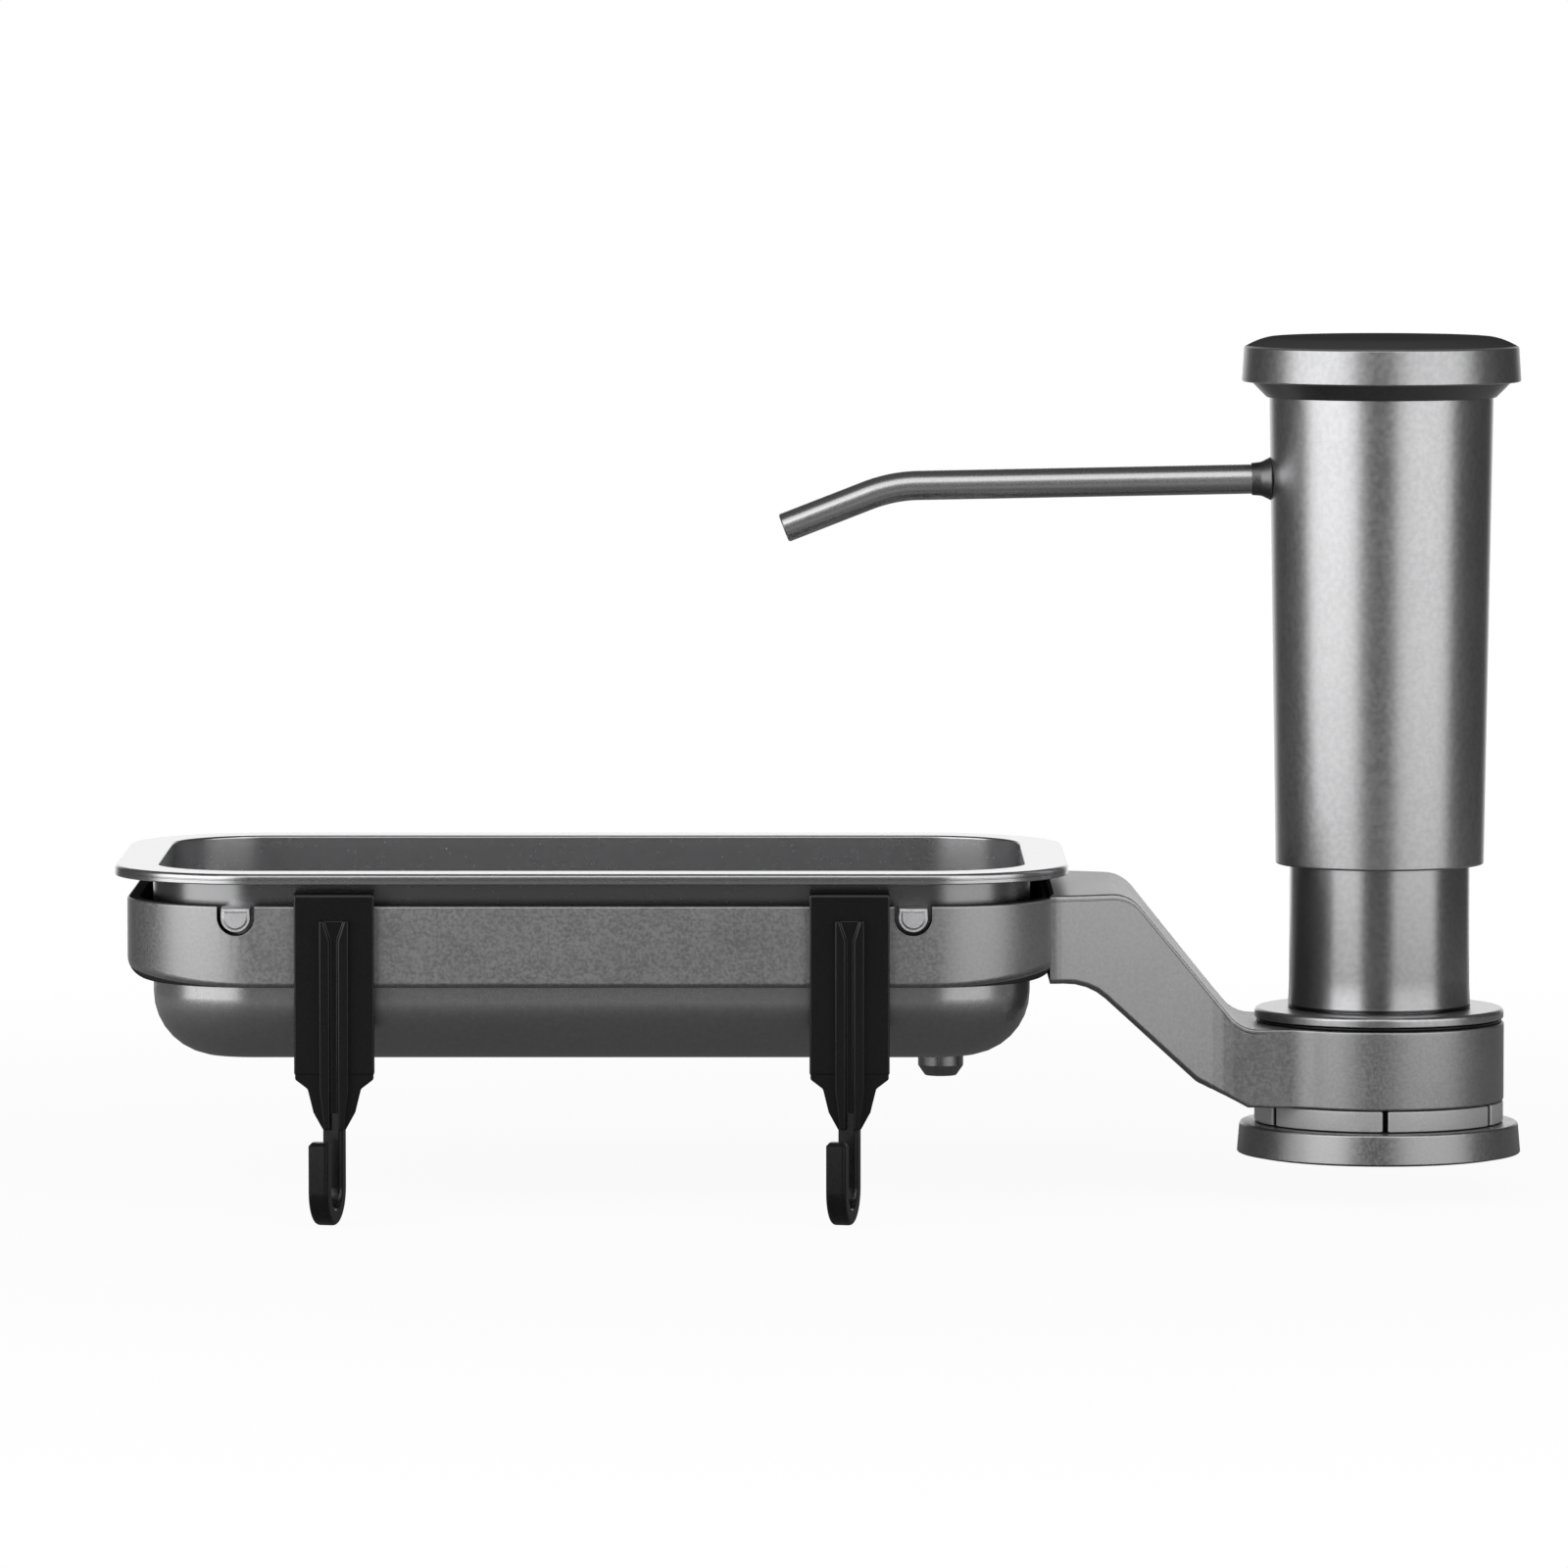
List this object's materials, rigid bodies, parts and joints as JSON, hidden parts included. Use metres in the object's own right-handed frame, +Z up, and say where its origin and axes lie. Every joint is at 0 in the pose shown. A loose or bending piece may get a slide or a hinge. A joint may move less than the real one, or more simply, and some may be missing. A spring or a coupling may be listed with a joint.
{
  "type": "sink-mounted soap dispenser",
  "caption": "Deck-mounted soap pump with a wide press cap and a long spout, over a swivelling arm that carries a lift-out sponge tray and two sliding J hooks.",
  "frame": {"origin": "centre of the deck face under the base disc, on the dispenser's axis", "axes": "+Z up along the dispenser's axis; -X from the dispenser towards the sponge rack; -Y towards the person at the sink"},
  "size_m": [0.3213, 0.133, 0.197],
  "materials": {
    "gun_grey": "satin gun-grey coating with a fine speckle",
    "cast_grey": "satin grey metallic paint with a fine speckle",
    "pale_ring": "paler satin grey",
    "tray_grey": "satin dark grey",
    "plain_steel": "plain",
    "black_plastic": "semi-gloss black",
    "white_plastic": "natural white",
    "black_rubber": "matt black"
  },
  "bodies": {
    "root": {"deck_gasket": "black_rubber", "base_flange": "gun_grey", "threaded_shank": "plain_steel", "lock_nut": "plain_steel", "top_nut": "plain_steel", "detent_ring": "pale_ring", "upper_washer": "black_plastic", "neck_flange": "gun_grey", "neck_tube": "gun_grey", "pump_closure": "white_plastic", "closure_seal": "black_rubber", "pump_cylinder": "white_plastic", "inlet_valve": "white_plastic", "inlet_ball": "plain_steel", "suction_tube": "white_plastic", "return_spring": "plain_steel"},
    "stem": {"piston_stem": "white_plastic", "piston_seal": "black_rubber", "outlet_ball": "plain_steel"},
    "head": {"barrel": "gun_grey", "barrel_bush": "black_plastic", "head_core": "white_plastic", "spout": "gun_grey", "spout_collar": "black_plastic", "press_cap": "gun_grey", "cap_insert": "black_plastic"},
    "rack": {"rack_bracket": "cast_grey", "collar_bush": "white_plastic"},
    "tray": {"tray": "tray_grey", "tray_peg_front_left": "cast_grey", "tray_peg_front_right": "cast_grey", "tray_peg_back_left": "cast_grey", "tray_peg_back_right": "cast_grey", "drain_nozzle": "tray_grey", "drain_gasket": "black_rubber"},
    "left_hook": {"hook_left": "black_plastic"},
    "right_hook": {"hook_right": "black_plastic"}
  },
  "joints": [
    {"name": "pump_press", "type": "slide", "parent": "root", "child": "stem", "axis": [0, 0, -1], "range_m": [0, 0.024], "stiffness_N_per_m": 250, "springref_m": -0.03, "deforming": ["return_spring"]},
    {"name": "head_swivel", "type": "hinge", "parent": "stem", "child": "head", "pos_m": [0, 0, 0.1464], "axis": [0, 0, 1], "continuous": true},
    {"name": "rack_swivel", "type": "hinge", "parent": "root", "child": "rack", "pos_m": [0, 0, 0.0126], "axis": [0, 0, 1], "continuous": true},
    {"name": "tray_lift", "type": "slide", "parent": "rack", "child": "tray", "axis": [0, 0, 1], "range_m": [0, 0.04]},
    {"name": "left_hook_slide", "type": "slide", "parent": "rack", "child": "left_hook", "axis": [1, 0, 0], "range_m": [-0.008, 0.045]},
    {"name": "right_hook_slide", "type": "slide", "parent": "rack", "child": "right_hook", "axis": [1, 0, 0], "range_m": [-0.045, 0.001]}
  ]
}
